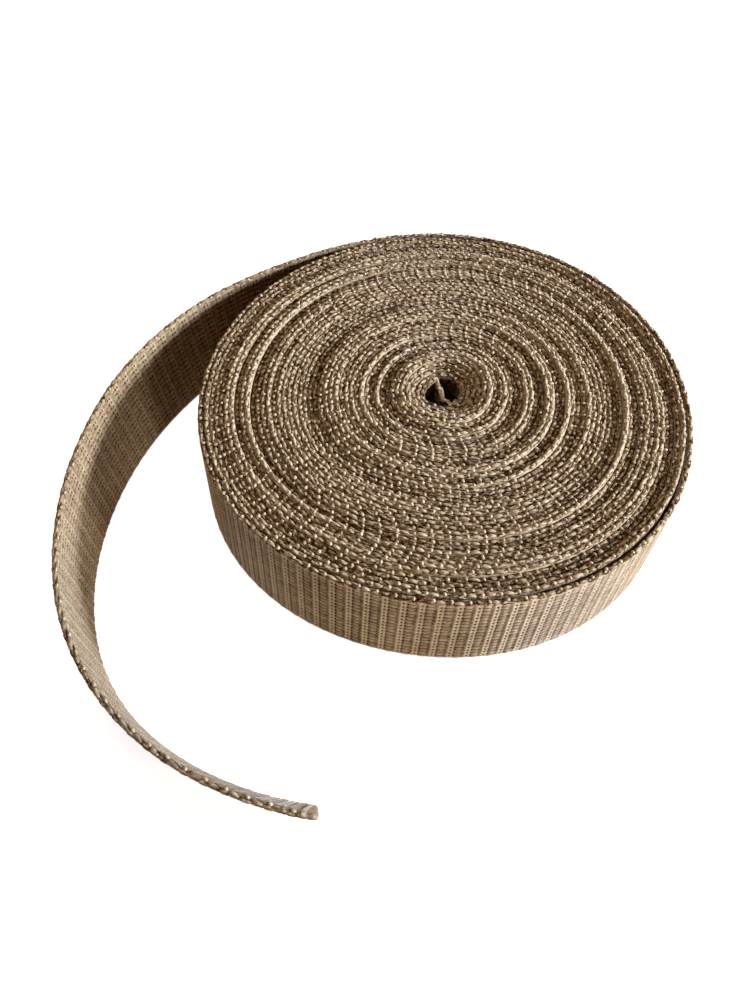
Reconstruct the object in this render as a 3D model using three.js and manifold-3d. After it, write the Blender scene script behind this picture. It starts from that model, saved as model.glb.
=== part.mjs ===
// A roll of ribbed webbing that lies on its side, with its loose end standing free in a curve.
// Millimetres, +Z up. The roll rests on z = 0, and the loose end comes round to the -Y side.
import * as THREE from 'three';
import { mergeVertices } from 'three/addons/utils/BufferGeometryUtils.js';
import Module from 'manifold-3d';

// The webbing
const webbingWidth = 25;
const webbingThickness = 1.3;

// The wound roll. The outer turn lies a little loose, so it steps in by more than one thickness.
const rollRadius = 64.3;
const turnPitch = 1.3;
const looseGap = 0.9;
const looseGapDepth = 3;
const leavingAngle = 108;
const stepArc = 0.3;
const rollSections = 72;

// The eye of the roll, a little taller than wide
const eyeRadius = 4.8;
const eyeStretch = 0.25;
const roundnessAtRadius = 0.5;

// How far the outline departs from a circle, one row for each number of waves round it
const outlineWaves = [
  { waves: 1, cosine: 1.16, sine: -0.83 },
  { waves: 2, cosine: -0.39, sine: 0.94 },
  { waves: 3, cosine: -0.24, sine: -0.34 },
  { waves: 4, cosine: -0.29, sine: 0.10 },
];

// How high the turns stand above the webbing's width, from the eye to the last but one turn, on
// the left and on the right of the roll. Between the two sides they blend.
// share is the part of the roll radius at which a row lies.
const turnHeights = [
  { share: 0.074, left: -0.9, right: -0.9 },
  { share: 0.095, left: -0.4, right: -0.5 },
  { share: 0.125, left: 0.7, right: 0.0 },
  { share: 0.145, left: 1.3, right: 0.6 },
  { share: 0.165, left: 1.6, right: 1.3 },
  { share: 0.185, left: 1.2, right: 2.0 },
  { share: 0.200, left: 0.9, right: 2.3 },
  { share: 0.212, left: 0.4, right: 1.1 },
  { share: 0.224, left: 0.1, right: 0.9 },
  { share: 0.245, left: 0.1, right: 1.5 },
  { share: 0.263, left: 0.9, right: 0.9 },
  { share: 0.280, left: 0.2, right: 0.2 },
  { share: 0.301, left: 0.4, right: 0.1 },
  { share: 0.323, left: 1.2, right: 0.8 },
  { share: 0.335, left: 0.8, right: 1.2 },
  { share: 0.350, left: 0.4, right: 1.1 },
  { share: 0.376, left: 1.2, right: 0.5 },
  { share: 0.387, left: 0.8, right: 0.2 },
  { share: 0.400, left: 0.4, right: 0.7 },
  { share: 0.430, left: 1.4, right: 1.6 },
  { share: 0.458, left: 1.3, right: 0.4 },
  { share: 0.474, left: 1.2, right: 0.0 },
  { share: 0.485, left: 1.0, right: 0.7 },
  { share: 0.498, left: 0.3, right: 1.4 },
  { share: 0.510, left: 0.0, right: 0.9 },
  { share: 0.522, left: 0.1, right: 0.4 },
  { share: 0.555, left: 0.2, right: 0.4 },
  { share: 0.583, left: 0.6, right: 1.2 },
  { share: 0.603, left: 0.8, right: 0.7 },
  { share: 0.650, left: 1.1, right: 0.4 },
  { share: 0.666, left: 0.7, right: 0.3 },
  { share: 0.692, left: 1.2, right: 0.1 },
  { share: 0.725, left: 0.6, right: 1.4 },
  { share: 0.748, left: 0.3, right: 0.4 },
  { share: 0.757, left: 0.1, right: 0.3 },
  { share: 0.775, left: 1.4, right: 0.1 },
  { share: 0.790, left: 1.4, right: 0.7 },
  { share: 0.808, left: 0.1, right: 1.2 },
  { share: 0.831, left: 1.5, right: 0.8 },
  { share: 0.857, left: 1.4, right: 1.4 },
  { share: 0.879, left: 0.9, right: 0.2 },
  { share: 0.910, left: 0.9, right: -0.2 },
  { share: 0.942, left: 0.9, right: 0.9 },
];
const outerTurnRise = 0.9;

// The inner end of the webbing crosses the eye and folds back to its wall. Its middle line, in
// millimetres from the roll centre.
const innerEndPoints = [
  { x: -2.6, y: 6.4 },
  { x: -1.0, y: 4.6 },
  { x: -0.3, y: 2.4 },
  { x: 0.2, y: 0.2 },
  { x: 0.8, y: -1.6 },
  { x: 2.4, y: -2.7 },
  { x: 4.8, y: -3.9 },
];
const innerEndDrop = 1.5;

// The loose end, from the roll to its cut tip, rows evenly spaced along it.
// bend is in degrees for each centimetre and lean in degrees outward from upright.
const looseLength = 222;
const looseStart = 0.5;
const looseSections = 44;
const looseRows = [
  { bend: 7.9, lean: 0 },
  { bend: 5.5, lean: 5 },
  { bend: 4.6, lean: 12.5 },
  { bend: 5.7, lean: 12.5 },
  { bend: 5.8, lean: 8.5 },
  { bend: 8.0, lean: 5.5 },
  { bend: 11.7, lean: 7 },
  { bend: 8.0, lean: 14 },
  { bend: 6.6, lean: 19.3 },
];
const edgeEasing = 0.35;

const outerDrop = turnPitch + looseGap;
const radians = THREE.MathUtils.degToRad;

function outlineWave(angle) {
  let sum = 0;
  for (const row of outlineWaves) {
    sum += row.cosine * Math.cos(row.waves * angle) + row.sine * Math.sin(row.waves * angle);
  }
  return sum;
}

// The true radius at an angle of a turn whose even radius is given: inner turns are rounder
function bentRadius(evenRadius, angle) {
  const share = Math.pow(evenRadius / rollRadius, roundnessAtRadius);
  return evenRadius + share * outlineWave(angle);
}

// One section through the roll, from the eye over the top to the rim, as radius and height.
// turned runs from 0 at the leaving point to 1 after one turn clockwise.
function rollSection(turned) {
  const angle = radians(leavingAngle) - turned * 2 * Math.PI;
  const points = [];
  const eyeWall = bentRadius(eyeRadius, angle) - eyeStretch * Math.cos(2 * angle);
  points.push({ radius: eyeWall, height: 0 });
  for (const row of turnHeights) {
    const even = bentRadius(row.share * rollRadius, angle);
    const radius = row === turnHeights[0] ? eyeWall : even;
    const rise = THREE.MathUtils.lerp(row.left, row.right, 0.5 + 0.5 * Math.cos(angle));
    points.push({ radius, height: webbingWidth + rise });
  }

  const rim = rollRadius - outerDrop * turned;
  const secondRim = rollRadius - outerDrop - turnPitch * turned;
  const gap = Math.max(looseGap * (1 - turned), 0.12);
  const gapDepth = Math.min(looseGapDepth, gap * 5);
  const outerHeight = webbingWidth + outerTurnRise;
  const outerRows = [
    { even: secondRim - 0.1, height: outerHeight },
    { even: secondRim + 0.3 * gap, height: outerHeight - gapDepth },
    { even: secondRim + 0.7 * gap, height: outerHeight - gapDepth },
    { even: secondRim + gap + 0.1, height: outerHeight },
    { even: rim - 0.25, height: outerHeight },
    { even: rim, height: outerHeight - 0.25 },
    { even: rim, height: 0 },
  ];
  for (const row of outerRows) {
    points.push({ radius: bentRadius(row.even, angle), height: row.height });
  }
  return points.map((point) => new THREE.Vector3(
    point.radius * Math.cos(angle),
    point.radius * Math.sin(angle),
    point.height,
  ));
}

// A closed ring from sections that follow one another and join up with the first.
// Each section is itself a closed loop of points.
function ringGeometry(sections) {
  const loop = sections[0].length;
  const positions = sections.flat().flatMap((point) => point.toArray());
  const indices = [];
  for (let section = 0; section < sections.length; section += 1) {
    const next = (section + 1) % sections.length;
    for (let point = 0; point < loop; point += 1) {
      const beside = (point + 1) % loop;
      const a = section * loop + point;
      const b = section * loop + beside;
      const c = next * loop + beside;
      const d = next * loop + point;
      indices.push(a, c, b, a, d, c);
    }
  }
  const geometry = new THREE.BufferGeometry();
  geometry.setAttribute('position', new THREE.Float32BufferAttribute(positions, 3));
  geometry.setIndex(indices);
  return geometry;
}

// A closed bar from sections that follow one another, with flat ends
function barGeometry(sections) {
  const loop = sections[0].length;
  const positions = sections.flat().flatMap((point) => point.toArray());
  const indices = [];
  for (let section = 0; section + 1 < sections.length; section += 1) {
    for (let point = 0; point < loop; point += 1) {
      const beside = (point + 1) % loop;
      const a = section * loop + point;
      const b = section * loop + beside;
      const c = a + loop;
      const d = b + loop;
      indices.push(a, b, d, a, d, c);
    }
  }
  const last = (sections.length - 1) * loop;
  for (let point = 1; point + 1 < loop; point += 1) {
    indices.push(0, point + 1, point);
    indices.push(last, last + point, last + point + 1);
  }
  const geometry = new THREE.BufferGeometry();
  geometry.setAttribute('position', new THREE.Float32BufferAttribute(positions, 3));
  geometry.setIndex(indices);
  return geometry;
}

function rollGeometry() {
  const sections = [];
  for (let section = 0; section < rollSections; section += 1) {
    sections.push(rollSection(section / rollSections));
  }
  sections.push(rollSection(1 - stepArc / (2 * Math.PI * rollRadius)));
  return ringGeometry(sections);
}

// The inner end: a strip on edge, swept along a smooth curve across the eye
function innerEndGeometry() {
  const curve = new THREE.CatmullRomCurve3(
    innerEndPoints.map((point) => new THREE.Vector3(point.x, point.y, 0)),
  );
  const steps = 14;
  const top = webbingWidth - innerEndDrop;
  const half = webbingThickness / 2;
  const sections = [];
  for (let step = 0; step <= steps; step += 1) {
    const middle = curve.getPoint(step / steps);
    const along = curve.getTangent(step / steps);
    const side = new THREE.Vector3(along.y, -along.x, 0);
    sections.push([
      middle.clone().addScaledVector(side, -half).setZ(0),
      middle.clone().addScaledVector(side, -half).setZ(top),
      middle.clone().addScaledVector(side, half).setZ(top),
      middle.clone().addScaledVector(side, half).setZ(0),
    ]);
  }
  return barGeometry(sections);
}

// A smooth value between table rows that are evenly spaced from 0 to 1
function rowValue(rows, column, share) {
  const last = rows.length - 1;
  const place = THREE.MathUtils.clamp(share, 0, 1) * last;
  const row = Math.min(Math.floor(place), last - 1);
  const at = (index) => {
    if (index < 0) {
      return 2 * rows[0][column] - rows[1][column];
    }
    if (index > last) {
      return 2 * rows[last][column] - rows[last - 1][column];
    }
    return rows[index][column];
  };
  const [a, b, c, d] = [at(row - 1), at(row), at(row + 1), at(row + 2)];
  const f = place - row;
  const square = 2 * a - 5 * b + 4 * c - d;
  const cube = 3 * b - a - 3 * c + d;
  return 0.5 * (2 * b + (c - a) * f + square * f * f + cube * f * f * f);
}

// The middle line of the loose end on the floor, with its heading, in steps of one millimetre
function looseRoute() {
  const angle = radians(leavingAngle);
  const nudge = 1e-4;
  const outward = rollRadius + outlineWave(angle);
  const growth = (outlineWave(angle + nudge) - outlineWave(angle - nudge)) / (2 * nudge)
    + outerDrop / (2 * Math.PI);
  const start = outward - webbingThickness / 2;
  let heading = Math.atan2(
    outward * Math.cos(angle) + growth * Math.sin(angle),
    -outward * Math.sin(angle) + growth * Math.cos(angle),
  );
  let x = start * Math.cos(angle);
  let y = start * Math.sin(angle);
  const route = [{ x, y, heading }];
  for (let step = 0; step < looseLength; step += 1) {
    const bend = radians(rowValue(looseRows, 'bend', (step + 0.5) / looseLength) / 10);
    x += Math.cos(heading + bend / 2);
    y += Math.sin(heading + bend / 2);
    heading += bend;
    route.push({ x, y, heading });
  }
  return route;
}

// One section of the loose end: a leaning strip whose foot is cut level with the floor
function looseSection(route, along) {
  const step = Math.min(Math.floor(along), route.length - 2);
  const rest = along - step;
  const here = route[step];
  const next = route[step + 1];
  const heading = THREE.MathUtils.lerp(here.heading, next.heading, rest);
  const foot = new THREE.Vector3(
    THREE.MathUtils.lerp(here.x, next.x, rest),
    THREE.MathUtils.lerp(here.y, next.y, rest),
    0,
  );
  const lean = radians(rowValue(looseRows, 'lean', along / looseLength));
  const outward = new THREE.Vector3(Math.sin(heading), -Math.cos(heading), 0);
  const upward = outward.clone().multiplyScalar(Math.sin(lean)).setZ(Math.cos(lean));
  const across = outward.clone().multiplyScalar(Math.cos(lean)).setZ(-Math.sin(lean));
  const half = webbingThickness / 2;
  const shoulder = webbingWidth - edgeEasing;
  const ease = half - edgeEasing;
  return [
    foot.clone().addScaledVector(outward, -half / Math.cos(lean)),
    foot.clone().addScaledVector(upward, shoulder).addScaledVector(across, -half),
    foot.clone().addScaledVector(upward, webbingWidth).addScaledVector(across, -ease),
    foot.clone().addScaledVector(upward, webbingWidth).addScaledVector(across, ease),
    foot.clone().addScaledVector(upward, shoulder).addScaledVector(across, half),
    foot.clone().addScaledVector(outward, half / Math.cos(lean)),
  ];
}

function looseGeometry() {
  const route = looseRoute();
  const sections = [];
  for (let section = 0; section <= looseSections; section += 1) {
    const along = THREE.MathUtils.lerp(looseStart, looseLength, section / looseSections);
    sections.push(looseSection(route, along));
  }
  return barGeometry(sections);
}

const wasm = await Module();
wasm.setup();

function toManifold(geometry) {
  const plain = geometry.clone();
  plain.deleteAttribute('normal');
  plain.deleteAttribute('uv');
  const merged = mergeVertices(plain, 1e-4);
  return new wasm.Manifold(new wasm.Mesh({
    numProp: 3,
    vertProperties: new Float32Array(merged.attributes.position.array),
    triVerts: new Uint32Array(merged.index.array),
  }));
}

function toGeometry(solid) {
  const mesh = solid.getMesh();
  const geometry = new THREE.BufferGeometry();
  geometry.setAttribute('position', new THREE.Float32BufferAttribute(mesh.vertProperties, 3));
  geometry.setIndex(Array.from(mesh.triVerts));
  return geometry;
}

const webbing = new THREE.MeshStandardMaterial({ color: 0xb49b78, roughness: 0.85, metalness: 0 });

function addPiece(parent, name, geometry) {
  geometry.computeVertexNormals();
  const mesh = new THREE.Mesh(geometry, webbing);
  mesh.name = name;
  parent.add(mesh);
  return mesh;
}

const placed = new THREE.Group();
const roll = toManifold(rollGeometry()).add(toManifold(innerEndGeometry()));
addPiece(placed, 'wound_roll', toGeometry(roll));
addPiece(placed, 'loose_end', looseGeometry());

// The origin is under the middle of the whole part
const bounds = new THREE.Box3().setFromObject(placed);
const middle = bounds.getCenter(new THREE.Vector3());
placed.position.set(-middle.x, -middle.y, -bounds.min.z);

const group = new THREE.Group();
group.add(placed);

export default group;
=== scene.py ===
# Roll of ribbed webbing lying flat, with its loose end standing on edge beside it in a curve.
# Blender works in metres; every size in the dictionaries below is in millimetres or degrees.
import math

import bpy
import numpy as np
from mathutils import Matrix, Vector


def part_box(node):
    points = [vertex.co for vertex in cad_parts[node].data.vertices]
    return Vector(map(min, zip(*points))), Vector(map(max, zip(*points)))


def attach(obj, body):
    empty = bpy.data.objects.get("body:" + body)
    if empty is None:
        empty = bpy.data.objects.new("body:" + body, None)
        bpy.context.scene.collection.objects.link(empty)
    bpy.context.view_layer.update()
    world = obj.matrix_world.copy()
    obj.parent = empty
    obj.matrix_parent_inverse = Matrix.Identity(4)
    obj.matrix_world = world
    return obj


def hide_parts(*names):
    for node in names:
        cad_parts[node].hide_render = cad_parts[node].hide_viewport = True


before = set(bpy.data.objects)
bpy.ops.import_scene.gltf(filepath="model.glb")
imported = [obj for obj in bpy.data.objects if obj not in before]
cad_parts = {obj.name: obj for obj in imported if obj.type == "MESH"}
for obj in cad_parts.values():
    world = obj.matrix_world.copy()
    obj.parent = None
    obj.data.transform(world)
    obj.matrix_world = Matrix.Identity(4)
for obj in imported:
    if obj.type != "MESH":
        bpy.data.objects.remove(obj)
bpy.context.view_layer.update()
mm = 0.001

# One strip of webbing. Along it, zero is where it leaves the roll: the loose end lies at
# negative distances and the wound turns at positive ones.
strip = {
    "width": 25.0,
    "thickness": 1.25,
    "rollRadius": 64.3,
    "turnPitch": 1.3,
    "looseGap": 0.9,
    "leavingAngle": 108.0,
    "innerPitch": 1.318,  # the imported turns, as counted in the photograph
    "turns": 43.98,
    "looseLength": 222.0,
    "pathStep": 0.4,
    "backSet": 0.65,  # from the even outer radius in to the middle of the strip
    "yarnSink": 0.17,  # the edge yarns stand this far above the strip's own top edge
    "looseFullness": 0.22,  # how much thicker it lies where no other turn presses on it
    "fullFrom": 50.0,  # along the loose end, where it has that thickness
    "riseFades": 60.0,  # along the loose end, where its top has come down to the webbing's width
    "innerEndDrop": 1.6,  # how far the top of the inner end comes down on its way across the eye
    "innerEndLength": 12.0,  # of the paler stretch of it that shows in the eye
    "aboveFloor": 0.02,
    "paintedGrooveTone": 0.28,  # painted shade for each millimetre that a turn lies below the ones near it, painted light above
    "paintedGrooveToneLimits": (-0.25, 0.24),
}

# How the outline departs from a circle: waves round it, cosine and sine share in millimetres
outlineWaves = [(1, 1.16, -0.83), (2, -0.39, 0.94), (3, -0.24, -0.34), (4, -0.29, 0.10)]
outerDrop = strip["turnPitch"] + strip["looseGap"]  # how far the outer turn comes in, once round

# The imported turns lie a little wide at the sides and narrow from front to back
innerWave = 0.45

# Height of the turns above the webbing's width: share of the roll radius, rise on the left of the
# roll, rise on its right. Between the two sides they blend.
turnHeights = [
    (0.074, -0.9, -0.9), (0.095, -0.4, -0.5), (0.125, 0.7, 0.0), (0.145, 1.3, 0.6),
    (0.165, 1.6, 1.3), (0.185, 1.2, 2.0), (0.200, 0.9, 2.3), (0.212, 0.4, 1.1),
    (0.224, 0.1, 0.9), (0.245, 0.1, 1.5), (0.263, 0.9, 0.9), (0.280, 0.2, 0.2),
    (0.301, 0.4, 0.1), (0.323, 1.2, 0.8), (0.335, 0.8, 1.2), (0.350, 0.4, 1.1),
    (0.376, 1.2, 0.5), (0.387, 0.8, 0.2), (0.400, 0.4, 0.7), (0.430, 1.4, 1.6),
    (0.458, 1.3, 0.4), (0.474, 1.2, 0.0), (0.485, 1.0, 0.7), (0.498, 0.3, 1.4),
    (0.510, 0.0, 0.9), (0.522, 0.1, 0.4), (0.555, 0.2, 0.4), (0.583, 0.6, 1.2),
    (0.603, 0.8, 0.7), (0.650, 1.1, 0.4), (0.666, 0.7, 0.3), (0.692, 1.2, 0.1),
    (0.725, 0.6, 1.4), (0.748, 0.3, 0.4), (0.757, 0.1, 0.3), (0.775, 1.4, 0.1),
    (0.790, 1.4, 0.7), (0.808, 0.1, 1.2), (0.831, 1.5, 0.8), (0.857, 1.4, 1.4),
    (0.879, 0.9, 0.2), (0.910, 0.9, -0.2), (0.942, 0.9, 0.9),
]
outerTurnRise = 0.9

# The loose end, evenly spaced rows from the roll to the tip: bend in degrees a centimetre, lean
looseRows = [
    (7.9, 0.0), (5.5, 5.0), (4.6, 12.5), (5.7, 12.5), (5.8, 8.5),
    (8.0, 5.5), (11.7, 7.0), (8.0, 14.0), (6.6, 19.3),
]

# The inner end after the last turn: a sharp fold, then across the eye to the far wall
innerEndPoints = [
    (-1.45, 4.65), (-0.95, 4.45), (-0.65, 3.6), (-0.15, 1.75), (0.45, -0.15), (0.6, -1.5),
    (1.1, -2.0), (2.0, -2.2), (2.9, -3.2), (3.4, -2.9), (3.9, -1.9), (4.3, -1.0),
]

# The weave: one repeat along the strip, and one row across it for each bundle of warp yarn
weave = {
    "repeat": 4.04,
    "phase": 1.18,
    "rows": 16,
    "selvedge": 1.4,
    "selvedgeDot": 2.5,  # where the edge loop lies in a repeat, measured from the first rib
    "secondRib": 0.92,
    "ribHalfWidths": (0.34, 0.32),
    "ribHeight": 0.18,
    "floats": (1.45, 3.1),  # where the band of short floats lies in a repeat
    "floatHeight": 0.14,
    "flank": (3.3, 3.95),  # low yarn before the next pair of ribs
    "bigHole": 0.53,  # past the second rib
    "holeHalfWidths": (0.15, 0.18),  # of the small holes between the ribs, and of the big ones
    "holeDepth": 0.24,
    "rowGap": 0.12,  # half of the gap between two rows, as a share of a row
    "rowGapDepth": 0.08,
    # Tones of the face: painted light on the yarn that stands proud, over a darker ground
    "groundLight": 0.31,
    "ribLight": 0.38,  # added on the ribs
    "floatLight": 0.2,
    "selvedgeLight": 0.12,
}
usableWidth = strip["width"] - 2 * weave["selvedge"]
rowPitch = usableWidth / weave["rows"]

# What the third value of the strip attribute tells the material: which woven face a point is on, or
# from evenMark up that its yarn lies as evenly as on a face. The calm edge yarn comes partly there.
innerMark = 11.0
outerMark = 12.0
evenMark = 8.0
calmEdgeMark = 12.8


def outlineWave(angle):
    total = np.zeros_like(angle)
    for waves, cosine, sine in outlineWaves:
        total += cosine * np.cos(waves * angle) + sine * np.sin(waves * angle)
    return total


def bentRadius(evenRadius, angle):
    share = np.sqrt(evenRadius / strip["rollRadius"])
    return evenRadius + share * outlineWave(angle)


def smoothThrough(points, steps):
    # Catmull-Rom through the points
    points = np.array(points, float)
    ends = np.vstack([2 * points[0] - points[1], points, 2 * points[-1] - points[-2]])
    out = []
    for k in range(len(points) - 1):
        a, b, c, d = ends[k:k + 4]
        for f in np.arange(steps) / steps:
            square = 2 * a - 5 * b + 4 * c - d
            cube = 3 * b - a - 3 * c + d
            out.append(0.5 * (2 * b + (c - a) * f + square * f**2 + cube * f**3))
    out.append(points[-1])
    return np.array(out)


def rowValues(rows, column, share):
    # The same smooth table reading as the solid's
    values = [row[column] for row in rows]
    fine = smoothThrough([(i, v) for i, v in enumerate(values)], 24)
    return np.interp(share * (len(rows) - 1), fine[:, 0], fine[:, 1])


def woundPath():
    # Middle line of the wound turns, from the leaving point inward, turning clockwise from above
    radius, pitch = strip["rollRadius"], strip["innerPitch"]
    turned = [0.0]
    while turned[-1] < strip["turns"]:
        even = radius - outerDrop * min(turned[-1], 1) - pitch * max(turned[-1] - 1, 0)
        turned.append(turned[-1] + strip["pathStep"] / (2 * math.pi * even))
    turned = np.array(turned)
    even = radius - outerDrop * np.minimum(turned, 1) - pitch * np.maximum(turned - 1, 0)
    even = even - strip["backSet"]
    angle = math.radians(strip["leavingAngle"]) - 2 * math.pi * turned
    wobble = turnWobble(turned)
    within = np.clip((1 - even / radius) / 0.15, 0, 1) * np.clip(even / radius / 0.5, 0, 1)
    reach = bentRadius(even, angle) + wobble + innerWave * within * np.cos(2 * angle)
    share = even / radius
    rise = riseAt(share, angle)
    # How far a turn lies below the ones near it, which sets its painted groove shade
    around = [riseAt(share + step, angle) for step in (-0.036, -0.024, -0.012, 0.012, 0.024, 0.036)]
    outer = np.clip(1.15 - turned, 0, 0.15) / 0.15
    sunk = (np.mean(around, axis=0) - rise) * (1 - outer)
    rise = rise * (1 - outer) + outerTurnRise * outer
    top = strip["width"] + rise + turnUnevenness(turned) * (1 - outer)
    return reach * np.cos(angle), reach * np.sin(angle), top, turned, sunk


def riseAt(share, angle):
    places, leftRise, rightRise = np.array(turnHeights).T
    left, right = np.interp(share, places, leftRise), np.interp(share, places, rightRise)
    return left + (right - left) * (0.5 + 0.5 * np.cos(angle))


def turnWobble(turned):
    # Each turn lies a hair nearer to or further from the next, so the lines between them vary
    offsets = np.random.default_rng(11).uniform(-0.05, 0.05, 60)
    slow = 0.03 * np.sin(2 * math.pi * turned * 2.37 + 1.0)
    gate = np.clip(turned - 1.2, 0, 1)
    return gate * (np.interp(turned, np.arange(60) + 0.5, offsets) + slow)


def turnUnevenness(turned):
    # Small differences in height from turn to turn and round each turn
    offsets = np.random.default_rng(5).uniform(-0.16, 0.16, 60)
    waves = 0.10 * np.sin(2 * math.pi * turned * 1.73) + 0.07 * np.sin(2 * math.pi * turned * 3.41 + 2)
    return np.interp(turned, np.arange(60) + 0.2, offsets) + waves


def loosePath():
    # Middle line of the loose end from the roll to its tip
    angle = np.array([math.radians(strip["leavingAngle"])])
    nudge = 1e-4
    outward = strip["rollRadius"] + outlineWave(angle)[0]
    slope = (outlineWave(angle + nudge)[0] - outlineWave(angle - nudge)[0]) / (2 * nudge)
    slope += outerDrop / (2 * math.pi)
    cosine, sine = math.cos(angle[0]), math.sin(angle[0])
    heading = math.atan2(outward * cosine + slope * sine, -outward * sine + slope * cosine)
    start = outward - strip["backSet"]
    steps = int(strip["looseLength"])
    share = (np.arange(steps) + 0.5) / steps
    bends = np.radians(rowValues(looseRows, 0, share) / 10)
    headings = heading + np.concatenate([[0], np.cumsum(bends)])
    middle = (headings[1:] + headings[:-1]) / 2
    x = start * cosine + np.concatenate([[0], np.cumsum(np.cos(middle))])
    y = start * sine + np.concatenate([[0], np.cumsum(np.sin(middle))])
    lean = rowValues(looseRows, 1, np.arange(steps + 1) / steps)
    return x, y, np.clip(lean, 0, None)


def wholePath():
    looseX, looseY, looseLean = loosePath()
    woundX, woundY, woundTop, turned, sunk = woundPath()
    inner = smoothThrough([(woundX[-1], woundY[-1])] + innerEndPoints, 12)[1:]
    innerTop = woundTop[-1] - np.linspace(0, strip["innerEndDrop"], len(inner))
    # The outer turn's extra height runs out over the first stretch of the loose end
    away = np.arange(len(looseX))[:0:-1]
    looseTop = strip["width"] + outerTurnRise * np.clip(1 - away / strip["riseFades"], 0, 1) ** 2
    x = np.concatenate([looseX[:0:-1], woundX, inner[:, 0]])
    y = np.concatenate([looseY[:0:-1], woundY, inner[:, 1]])
    top = np.concatenate([looseTop, woundTop, innerTop])
    lean = np.concatenate([looseLean[:0:-1], np.zeros(len(woundX) + len(inner))])
    gone = np.concatenate([[0], np.cumsum(np.hypot(np.diff(x), np.diff(y)))])
    along = gone - gone[len(looseX) - 1]
    step = np.gradient(x, along), np.gradient(y, along)
    heading = np.unwrap(np.arctan2(step[1], step[0]))
    turns = np.concatenate([np.zeros(len(looseX) - 1), turned, np.full(len(inner), turned[-1])])
    sunk = np.concatenate([np.zeros(len(looseX) - 1), sunk, np.zeros(len(inner))])
    return {"along": along, "x": x, "y": y, "heading": heading, "top": top, "lean": lean,
            "turned": turns, "sunk": sunk}


path = wholePath()
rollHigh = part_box("wound_roll")[1]
outerCurve = np.linspace(0, 2 * math.pi, 721)
turnedThere = (math.radians(strip["leavingAngle"]) - outerCurve) % (2 * math.pi) / (2 * math.pi)
outerReach = bentRadius(strip["rollRadius"] - outerDrop * turnedThere, outerCurve)
# Where the middle of the roll stands in the frame, in millimetres
rollCentre = (
    rollHigh[0] / mm - (outerReach * np.cos(outerCurve)).max(),
    rollHigh[1] / mm - (outerReach * np.sin(outerCurve)).max(),
)
wholeLength = path["along"][-1]
looseTip = -strip["looseLength"]
print("strip:", round(wholeLength), "mm wound and", strip["looseLength"], "mm loose")
print("roll centre:", rollCentre)


def onStrip(along, side, height):
    # A point beside the strip's middle line: side is outward, height is measured up the strip
    at = {key: np.interp(along, path["along"], path[key]) for key in ("x", "y", "heading", "lean")}
    lean = np.radians(at["lean"])
    side = side * (1 + strip["looseFullness"] * np.clip(-along / strip["fullFrom"], 0, 1))
    outX, outY = -np.sin(at["heading"]), np.cos(at["heading"])
    out = side * np.cos(lean) + height * np.sin(lean)
    up = height * np.cos(lean) - side * np.sin(lean)
    x = at["x"] + outX * out + rollCentre[0]
    y = at["y"] + outY * out + rollCentre[1]
    return np.stack([x, y, np.maximum(up, strip["aboveFloor"])], axis=-1) * mm


def topOf(along):
    return np.interp(along, path["along"], path["top"])


def paintedGrooveShade(along):
    # Painted shade darkens the turns that lie in a groove, and painted light makes those on a ridge paler
    sunk = np.interp(along, path["along"], path["sunk"])
    return np.clip(strip["paintedGrooveTone"] * sunk, *strip["paintedGrooveToneLimits"])


def onInnerEnd(along):
    # 0 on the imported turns, 1 on the inner end that crosses the eye
    return np.clip((along - wholeLength + strip["innerEndLength"]) / 3, 0, 1)


def addMesh(name, points, faces, attributes, material):
    mesh = bpy.data.meshes.new(name)
    mesh.from_pydata(points.tolist(), [], faces)
    for key, values in attributes.items():
        if values.ndim == 2:
            layer = mesh.attributes.new(key, "FLOAT_VECTOR", "POINT")
            layer.data.foreach_set("vector", values.astype(np.float32).ravel())
        else:
            layer = mesh.attributes.new(key, "FLOAT", "POINT")
            layer.data.foreach_set("value", values.astype(np.float32).ravel())
    mesh.polygons.foreach_set("use_smooth", [True] * len(mesh.polygons))
    mesh.materials.append(material)
    mesh.update()
    piece = bpy.data.objects.new(name, mesh)
    bpy.context.scene.collection.objects.link(piece)
    return piece


def loft(name, rings, attributes, material):
    # A closed bar through rings of points, with flat ends
    count, loop = rings.shape[:2]
    section, point = np.meshgrid(np.arange(count - 1), np.arange(loop), indexing="ij")
    a = section * loop + point
    b = section * loop + (point + 1) % loop
    faces = np.stack([a, b, b + loop, a + loop], axis=-1).reshape(-1, 4).tolist()
    faces.append(list(range(loop - 1, -1, -1)))
    faces.append(list(range((count - 1) * loop, count * loop)))
    flat = {key: v.reshape(count * loop, *v.shape[2:]) for key, v in attributes.items()}
    return addMesh(name, rings.reshape(-1, 3), faces, flat, material)


def swellAt(place, middle, halfWidth):
    # A rounded hump, 1 at its middle and 0 from half its width away
    return np.sqrt(np.clip(1 - ((place - middle) / halfWidth) ** 2, 0, 1))


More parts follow.
